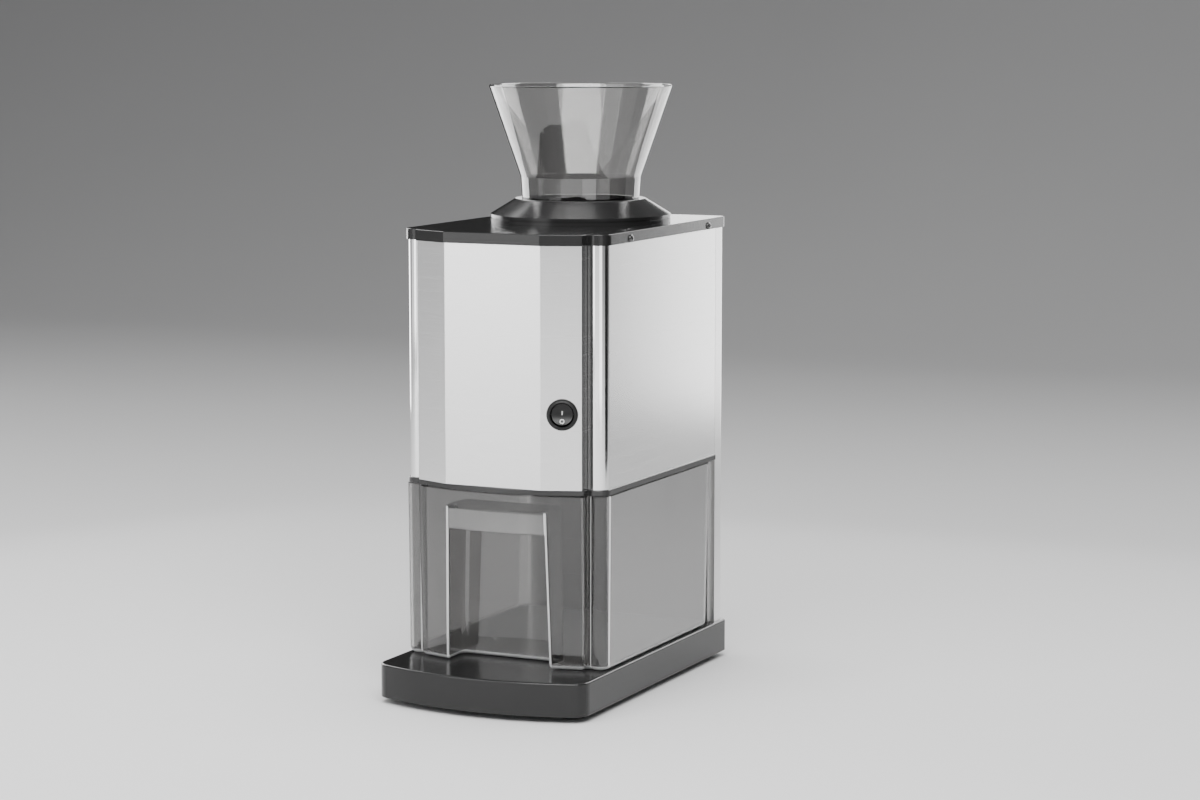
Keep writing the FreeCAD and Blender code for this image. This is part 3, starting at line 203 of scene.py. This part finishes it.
def polished_metal(name, tone, roughness, warm=0.0, streak_axis="z"):
    """Bright metal with faint drawing lines along one axis and fingerprints of uneven gloss."""
    s = Shader(name)
    scale = [4.0 if axis == streak_axis else 700.0 for axis in "xyz"]
    lines = s.noise(1.0, detail=4.0, roughness=0.6, vector=s.scaled(*scale))
    smear = s.noise(35.0, detail=4.0, roughness=0.6)
    gloss = s.ramp(lines, roughness * 0.7, roughness * 1.4)
    s.feed(Base_Color=s.colours(lines, (0.3, grey(tone * 0.96, warm)), (0.7, grey(tone * 1.03, warm))),
           Roughness=s.maths("ADD", gloss, s.ramp(smear, -0.01, 0.04, 0.4, 0.75)))
    s.bump(lines, 0.006 * MM, strength=0.5)
    s.set(Metallic=1.0)
    return s.material


def clear_plastic(name, tint, extras=None):
    """Clear moulded styrene with faint flow waves and hairline scratches.

    extras(shader) gives (factor, haze, roughness added): where the factor is 1 the plastic is that hazy, and
    its milky colour there is painted light.
    """
    s = Shader(name)
    flow = s.noise(11.0, detail=2.0, roughness=0.5)
    scratch = s.noise(1.0, detail=6.0, roughness=0.75, vector=s.scaled(260.0, 260.0, 40.0))
    colour = s.colours(flow, (0.3, tuple(v * 0.985 for v in tint)), (0.7, tint))
    rough = s.ramp(scratch, 0.0075, 0.045, 0.45, 0.8)
    s.set(Transmission_Weight=1.0, IOR=1.58)
    if extras:
        clear = 1.0
        # Milky colour mixed in where the extras reach: painted light.
        milky = s.colours(scratch, (0.3, grey(0.84)), (0.7, grey(0.92)))
        for factor, haze, added in extras(s):
            rough = s.maths("ADD", rough, s.product(factor, added))
            clear = s.maths("SUBTRACT", clear, s.product(factor, haze))
            colour = s.mixed(factor, colour, milky)
        s.feed(Transmission_Weight=clear)
    s.feed(Base_Color=colour, Roughness=rough)
    s.bump(s.maths("ADD", flow, s.product(scratch, 0.006)), 0.3 * MM, strength=0.35)
    return s.material


def bin_haze_painted_light(s):
    """Painted light on the bin: its sole made milky, painted highlights on the wall ends and corners, and a
    lighter lip and sides.

    Cycles follows light through the thick corners for too few bounces, and leaves them dark without this.
    """
    low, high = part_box("ice_bin")
    side, front, bottom, rim = high[0], low[1], low[2], high[2]
    soft = 0.3 * MM
    x, y, z = s.axes()
    x = s.maths("ABSOLUTE", x)

    # The niche's upright wall ends, which lean inwards as they go up.
    niche_half, niche_lean = 45.0 * MM, 0.02075       # half width carried down to the floor, loss per height
    ends_behind, ends_under = 12.9 * MM, 12.8 * MM    # as far behind the front, and from there under the rim
    across = s.maths("ADD", x, s.product(z, niche_lean))
    by_front = s.below(y, front + ends_behind, soft)
    wall_ends = s.product(s.band(across, niche_half, 1.2 * MM), by_front, s.below(z, rim - ends_under, soft))

    # Both edges of the bin's round front corners, which carry on the line of the corner posts.
    start_in, start_behind, end_behind = 14.2 * MM, 21.4 * MM, 25.9 * MM
    skin = 1.7 * MM                                   # the outer sides of the bin lie in this
    outer = s.maths("SUBTRACT", 1.0, s.below(x, side - skin, soft))
    post_start = s.product(s.band(x, side - start_in, 0.7 * MM), s.below(y, front + start_behind, soft))
    post_end = s.product(s.band(y, front + end_behind, 1.1 * MM), outer)
    # Painted highlights: these edges are made milky so that they show bright.
    bright = s.maths("MAXIMUM", wall_ends, s.maths("MAXIMUM", post_start, post_end))

    # The finger lip over the niche, and the sides, a little milky: painted light that lightens them. Its top
    # and foot are under the rim.
    lip_half, lip_top, lip_foot, lip_share, painted_milkiness = 41.5 * MM, 14.3 * MM, 30.8 * MM, 0.55, 0.36
    lip_heights = s.maths("SUBTRACT", s.below(z, rim - lip_top, soft), s.below(z, rim - lip_foot, soft))
    lip = s.product(s.below(x, lip_half, soft), by_front, lip_heights)
    faint = s.product(s.maths("MAXIMUM", outer, s.product(lip, lip_share)), painted_milkiness)

    # The sole, made milky: painted light that also lightens the heel edges.
    sole_top = 3.4 * MM
    sole = s.below(z, bottom + sole_top, 2 * soft)
    return [(sole, 0.6, 0.22), (bright, 0.6, 0.1), (faint, 0.9, 0.0)]


def soft_rubber(name, tone):
    """Matt rubber with a dusty bloom."""
    s = Shader(name)
    dust = s.noise(240.0, detail=5.0, roughness=0.65)
    s.feed(Base_Color=s.colours(dust, (0.4, grey(tone)), (0.75, grey(tone * 1.7))),
           Roughness=s.ramp(dust, 0.75, 0.9))
    s.bump(s.noise(1400.0, detail=2.0), 0.05 * MM)
    return s.material


def cast_metal(name, tone):
    """As-cast aluminium with a sandy skin."""
    s = Shader(name)
    sand = s.noise(900.0, detail=4.0, roughness=0.6)
    stain = s.noise(25.0, detail=4.0)
    s.feed(Base_Color=s.colours(stain, (0.3, grey(tone * 0.85)), (0.7, grey(tone * 1.08))),
           Roughness=s.ramp(sand, 0.42, 0.6))
    s.bump(sand, 0.12 * MM)
    s.set(Metallic=1.0)
    return s.material


def oiled_gear(name, tone):
    """Sintered gear steel, dark, with a film of grease."""
    s = Shader(name)
    film = s.noise(70.0, detail=5.0, roughness=0.6)
    s.feed(Base_Color=s.colours(film, (0.35, grey(tone * 0.7, 0.05)), (0.7, grey(tone * 1.2, 0.02))),
           Roughness=s.ramp(film, 0.25, 0.5))
    s.bump(s.noise(1200.0, detail=2.0), 0.04 * MM)
    s.set(Metallic=1.0)
    return s.material


def matt_plastic(name, colour, roughness=0.5):
    """Plain moulded plastic with a fine texture and slight tone drift."""
    s = Shader(name)
    drift = s.noise(18.0)
    fine = s.noise(2200.0, detail=2.0)
    darker, lighter = (tuple(v * share for v in colour) for share in (0.92, 1.04))
    s.feed(Base_Color=s.colours(drift, (0.3, darker), (0.7, lighter)),
           Roughness=s.ramp(fine, roughness - 0.06, roughness + 0.08))
    s.bump(fine, 0.03 * MM)
    return s.material


def laminated_iron(name):
    """Stacked motor laminations: thin rings along Y."""
    s = Shader(name)
    wave = s.add("ShaderNodeTexWave", wave_type="BANDS", bands_direction="Y")
    wave.inputs["Scale"].default_value = 300.0
    wave.inputs["Distortion"].default_value = 0.4
    s.link(s.place, wave.inputs["Vector"])
    rings = wave.outputs["Fac"]
    s.feed(Base_Color=s.colours(rings, (0.0, (0.1, 0.09, 0.085)), (1.0, (0.34, 0.3, 0.27))),
           Roughness=s.ramp(s.noise(300.0), 0.4, 0.6))
    s.bump(rings, 0.08 * MM)
    s.set(Metallic=0.8)
    return s.material


def paint(material, *names):
    """One material on the named CAD nodes."""
    for name in names:
        slots = nodes[name].data.materials
        slots.clear()
        slots.append(material)


def paint_case():
    """Base, sheet metal, cover and switch."""
    front_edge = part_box("front_panel")[1][0]
    shaded_hem = 0.5 * MM      # the panel's folded edge begins this far in from its outermost point
    paint(moulded_black("base_black", 0.016, 0.15, specular=0.34), "base_tray")
    paint(moulded_black("lid_black", 0.015, 0.13, specular=0.34), "top_cover")
    paint(moulded_black("ring_black", 0.015, 0.2, grain=0.01 * MM, specular=0.3), "hopper_seat")
    paint(moulded_black("band_black", 0.02, 0.2), "bottom_plate")
    paint(moulded_black("switch_black", 0.012, 0.34, grain=0.01 * MM, specular=0.22),
          "switch_bezel", "switch_body", "switch_rocker", "interlock_switch")
    paint(moulded_black("cover_black", 0.02, 0.45), "cord_gland", "gland_nut")
    paint(brushed_steel("side_steel"), "side_panel_left", "side_panel_right")
    # The front panel's folded edges are painted dark, as shade in the gaps beside the corner posts.
    paint(brushed_steel("front_steel", painted_shade_beyond=front_edge - shaded_hem), "front_panel")
    paint(brushed_steel("spine_steel", roughness=0.3), "rear_spine")
    # Painted shade: the spine cover's steel is darkened, as the recess behind the bin is shaded.
    paint(brushed_steel("shaded_inner_steel", 0.42, 0.34), "spine_cover")
    paint(polished_metal("post_polish", 0.9, 0.07), "corner_post_left", "corner_post_right")
    paint(soft_rubber("foot_rubber", 0.02), "rubber_feet")
    paint(polished_metal("screw_bright", 0.14, 0.2, streak_axis="x"),
          "foot_screws", "spine_bolts", "cover_screws", "chamber_bolts", "comb_screws", "gearcase_screws")


def paint_clear():
    """Bin and funnel; their grey tints are painted shade that darkens what shows through them."""
    paint(clear_plastic("bin_clear", grey(0.43, 0.01), extras=bin_haze_painted_light), "ice_bin")
    paint(clear_plastic("hopper_clear", grey(0.56, 0.01)), "hopper")


def paint_works():
    """Crusher, gears and motor inside."""
    paint(polished_metal("ground_steel", 0.7, 0.24, streak_axis="y"), "crusher_shaft", "crusher_blades",
          "blade_spacers", "breaker_comb_left", "breaker_comb_right", "idler_pin", "motor_shaft")
    paint(polished_metal("sintered_bronze", 0.5, 0.4, warm=0.35), "shaft_bearings", "motor_nose_bearing")
    paint(cast_metal("cast_aluminium", 0.6),
          "crusher_chamber", "chamber_hood", "outlet_chute", "gearcase", "gearcase_cover")
    paint(oiled_gear("gear_steel", 0.3), "drive_gear", "idler_gear", "motor_pinion")
    paint(moulded_black("motor_paint", 0.02, 0.35), "motor_can", "motor_end_bell")
    paint(matt_plastic("ferrite", (0.06, 0.06, 0.065), 0.6), "motor_magnets")
    paint(laminated_iron("laminations"), "motor_armature")
    paint(matt_plastic("white_plastic", (0.75, 0.75, 0.72)), "motor_fan", "interlock_plunger")


# ---------------------------------------------------------------- the switch's signs
ROCKER_TILT = math.radians(-7.0)    # at rest, with the "1" pressed
PIVOT_DEPTH = 2.5 * MM              # of the rocker's pivot behind the panel's face
DISH_R = 17.0 * MM                  # of the rocker's hollow face
DISH_LOW = 1.0 * MM                 # lowest point of the hollow in front of the panel's face
SIGN_SINK = 0.2 * MM
SIGN_PROUD = 0.04 * MM
BAR_HALF = 0.42 * MM
BAR_LOW, BAR_HIGH = -0.4 * MM, 2.6 * MM
BAR_STEPS = 8
RING_MIDDLE = -5.3 * MM
RING_OUTER, RING_INNER = 1.85 * MM, 1.15 * MM
RING_STEPS = 48


def rocker_place():
    """Matrix from the switch's own axes (across, up, out of the panel) to the tilted rocker's place."""
    joint = next(j for j in frame["joints"] if j["name"] == "power_rocker")
    across = Vector(joint["axis"]).normalized()
    up = Vector((0.0, 0.0, 1.0))
    out = across.cross(up)
    centre = Vector(joint["pos_m"]) + out * PIVOT_DEPTH
    axes = Matrix((across, up, out)).transposed().to_4x4()
    pivot = Vector((0.0, 0.0, -PIVOT_DEPTH))
    tilt = Matrix.Translation(pivot) @ Matrix.Rotation(ROCKER_TILT, 4, "X") @ Matrix.Translation(-pivot)
    return Matrix.Translation(centre) @ axes @ tilt


def inlay(name, material, right, left, closed):
    """Thin sign let into the rocker's hollow face: a strip between two lines of points, a ring if closed."""
    def face_height(y):
        return DISH_LOW + DISH_R - math.sqrt(DISH_R ** 2 - y ** 2)

    mesh = bmesh.new()
    edges = []
    for line, lift in ((right, SIGN_PROUD), (left, SIGN_PROUD), (left, -SIGN_SINK), (right, -SIGN_SINK)):
        edges.append([mesh.verts.new((x, y, face_height(y) + lift)) for x, y in line])
    count = len(right)
    for k in range(count if closed else count - 1):
        n = (k + 1) % count
        for a, b in zip(edges, edges[1:] + edges[:1]):
            mesh.faces.new((a[k], a[n], b[n], b[k]))
    if not closed:
        for end in (0, -1):
            mesh.faces.new([edge[end] for edge in edges])
    bmesh.ops.recalc_face_normals(mesh, faces=mesh.faces)
    mesh.transform(rocker_place())
    data = bpy.data.meshes.new(name)
    mesh.to_mesh(data)
    mesh.free()
    data.materials.append(material)
    piece = bpy.data.objects.new(name, data)
    bpy.context.scene.collection.objects.link(piece)
    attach(piece, "rocker")


def rocker_signs():
    """The usual on and off signs: a bar above the rocker's middle and a ring below it."""
    white = matt_plastic("sign_white", (0.55, 0.55, 0.54), 0.4)
    heights = [BAR_LOW + (BAR_HIGH - BAR_LOW) * k / BAR_STEPS for k in range(BAR_STEPS + 1)]
    right, left = ([(x, y) for y in heights] for x in (BAR_HALF, -BAR_HALF))
    inlay("on_sign", white, right, left, closed=False)
    turn = [2 * math.pi * k / RING_STEPS for k in range(RING_STEPS)]
    radii = (RING_OUTER, RING_INNER)
    outer, inner = ([(r * math.cos(a), RING_MIDDLE + r * math.sin(a)) for a in turn] for r in radii)
    inlay("off_sign", white, outer, inner, closed=True)


# ---------------------------------------------------------------- floor
FLOOR_REACH = 14.0      # to the front and to each side
FLOOR_BEND = 2.2        # where the floor begins to sweep up, behind the object
BEND_RADIUS = 1.6
BEND_STEPS = 24
WALL_TOP = 6.0
PAPER_NEAR, PAPER_FAR = (-0.3, 0.82), (4.0, 0.22)     # place along Y and tone there


def studio_floor():
    """Pale seamless paper that sweeps up behind, its colour painted darker on the way as shade."""
    profile = [(-FLOOR_REACH, 0.0), (FLOOR_BEND, 0.0)]
    for k in range(1, BEND_STEPS + 1):
        a = math.pi / 2 * k / BEND_STEPS
        profile.append((FLOOR_BEND + BEND_RADIUS * math.sin(a), BEND_RADIUS * (1 - math.cos(a))))
    profile.append((FLOOR_BEND + BEND_RADIUS, WALL_TOP))
    count = len(profile)
    sheet = bpy.data.meshes.new("studio_floor")
    sheet.from_pydata([(x, y, z) for x in (-FLOOR_REACH, FLOOR_REACH) for y, z in profile], [],
                      [(k, k + 1, count + k + 1, count + k) for k in range(count - 1)])
    for polygon in sheet.polygons:
        polygon.use_smooth = True
    sheet.materials.append(studio_paper())
    floor = bpy.data.objects.new("studio_floor", sheet)
    bpy.context.scene.collection.objects.link(floor)


def studio_paper():
    s = Shader("studio_paper")
    depth = s.maths("ADD", s.axes()[1], s.ramp(s.noise(0.8), -0.15, 0.15))
    # Painted shade: the paper's colour darkens from near to far.
    share = s.ramp(depth, 0.0, 1.0, PAPER_NEAR[0], PAPER_FAR[0])
    s.feed(Base_Color=s.colours(share, (0.0, grey(PAPER_NEAR[1])), (1.0, grey(PAPER_FAR[1]))))
    s.set(Roughness=0.8)
    return s.material


# ---------------------------------------------------------------- lights
# Angles are in degrees round the object: 0 is straight in front of it, 90 to its right, 180 behind it.
AIR_COLOUR, AIR_STRENGTH = (0.98, 0.98, 1.0, 1.0), 0.35
AIM_HEIGHT = 0.3                    # lights point here, or level if they stand lower
HIDDEN_FROM = {                     # kinds of ray that miss a light, besides the camera's
    "full": (),
    "soft": ("visible_glossy",),
    "shine": ("visible_diffuse",),
    "metal_shine": ("visible_diffuse", "visible_transmission"),
}
SOFTBOXES = (
    # name, kind, angle, distance, height, width, tallness, radiance
    ("key_softbox", "full", -27.0, 1.9, 0.95, 0.9, 1.9, 3.2),
    ("hood_softbox", "full", 24.0, 1.75, 1.95, 2.6, 1.3, 6.6),
    ("top_softbox", "soft", 0.0, 0.01, 2.6, 2.0, 2.0, 4.0),
    ("left_softbox", "shine", -54.0, 1.9, 0.95, 0.95, 1.9, 0.75),
    ("front_strip", "shine", 8.0, 1.9, 0.12, 1.5, 0.24, 1.0),
    ("right_strip", "shine", 43.0, 1.9, 0.14, 0.9, 0.28, 2.2),
    ("side_high", "metal_shine", 180.0, 0.8, 0.31, 0.9, 0.4, 3.6),
    ("rear_left_low", "metal_shine", -112.0, 2.2, 0.27, 1.2, 0.55, 2.2),
    ("far_side_low", "metal_shine", -115.0, 0.9, 0.31, 0.6, 0.4, 5.0),
    ("rear_right_high", "shine", 150.0, 2.2, 1.6, 1.5, 1.3, 9.0),
    ("rear_left_high", "shine", -107.0, 2.2, 1.6, 1.5, 1.3, 9.0),
    ("funnel_softbox", "shine", 24.0, 1.9, 1.6, 2.3, 0.8, 9.0),
)
FLAGS = (
    # name, angle, distance, width, height of its top
    ("side_flag", 105.0, 1.2, 0.85, 1.5),
    ("rear_flag", -155.0, 2.0, 1.5, 0.85),
)


def studio_air():
    """Even faint light from all round."""
    world = bpy.data.worlds.new("studio_air")
    bpy.context.scene.world = world
    world.use_nodes = True
    background = world.node_tree.nodes["Background"]
    background.inputs["Color"].default_value = AIR_COLOUR
    background.inputs["Strength"].default_value = AIR_STRENGTH


def around(angle, distance, height):
    """Point at an angle round the object."""
    a = math.radians(angle)
    return Vector((distance * math.sin(a), -distance * math.cos(a), height))


def softbox(name, kind, angle, distance, height, wide, tall, radiance):
    """Rectangular soft light, pointed at the object and not itself in view."""
    light = bpy.data.lights.new(name, "AREA")
    light.shape = "RECTANGLE"
    light.size = wide
    light.size_y = tall
    light.energy = math.pi * wide * tall * radiance
    lamp = bpy.data.objects.new(name, light)
    lamp.location = around(angle, distance, height)
    direction = Vector((0.0, 0.0, min(height, AIM_HEIGHT))) - lamp.location
    lamp.rotation_euler = direction.to_track_quat("-Z", "Y").to_euler()
    for rays in ("visible_camera", *HIDDEN_FROM[kind]):
        setattr(lamp, rays, False)
    bpy.context.scene.collection.objects.link(lamp)


def flag(name, angle, distance, wide, top):
    """Upright black card that shows only in reflections, as a dark band."""
    centre = around(angle, distance, 0.0)
    side = around(angle + 90.0, wide / 2, 0.0)
    foot, head = Vector((0.0, 0.0, 0.01)), Vector((0.0, 0.0, top))
    corners = [centre - side + foot, centre + side + foot, centre + side + head, centre - side + head]
    mesh = bpy.data.meshes.new(name)
    mesh.from_pydata(corners, [], [(0, 1, 2, 3)])
    s = Shader(name + "_cloth")
    s.feed(Base_Color=s.colours(s.noise(400.0), (0.3, grey(0.01)), (0.7, grey(0.02))))
    s.set(Roughness=0.9, Specular_IOR_Level=0.1)
    mesh.materials.append(s.material)
    card = bpy.data.objects.new(name, mesh)
    bpy.context.scene.collection.objects.link(card)
    for rays in ("visible_camera", "visible_diffuse", "visible_transmission", "visible_shadow"):
        setattr(card, rays, False)


# ---------------------------------------------------------------- camera
CAMERA_PLACE = (1.0460, -2.1504, 0.5322)
CAMERA_ANGLE = 25.11                # degrees round the object, as it was fitted to the photograph
CAMERA_RISE = math.radians(7.32)
SENSOR, LENS = 36.0, 91.2           # mm
CLIP_END = 100.0


def camera():
    """Long lens from the front right, looking a little down."""
    back = around(CAMERA_ANGLE, math.cos(CAMERA_RISE), math.sin(CAMERA_RISE))
    data = bpy.data.cameras.new("camera")
    data.sensor_width = SENSOR
    data.lens = LENS
    data.clip_end = CLIP_END
    cam = bpy.data.objects.new("camera", data)
    cam.location = CAMERA_PLACE
    cam.rotation_euler = (-back).to_track_quat("-Z", "Y").to_euler()
    bpy.context.scene.collection.objects.link(cam)
    bpy.context.scene.camera = cam


camera()
paint_case()
paint_clear()
paint_works()
rocker_signs()
studio_floor()
studio_air()
for row in SOFTBOXES:
    softbox(*row)
for row in FLAGS:
    flag(*row)
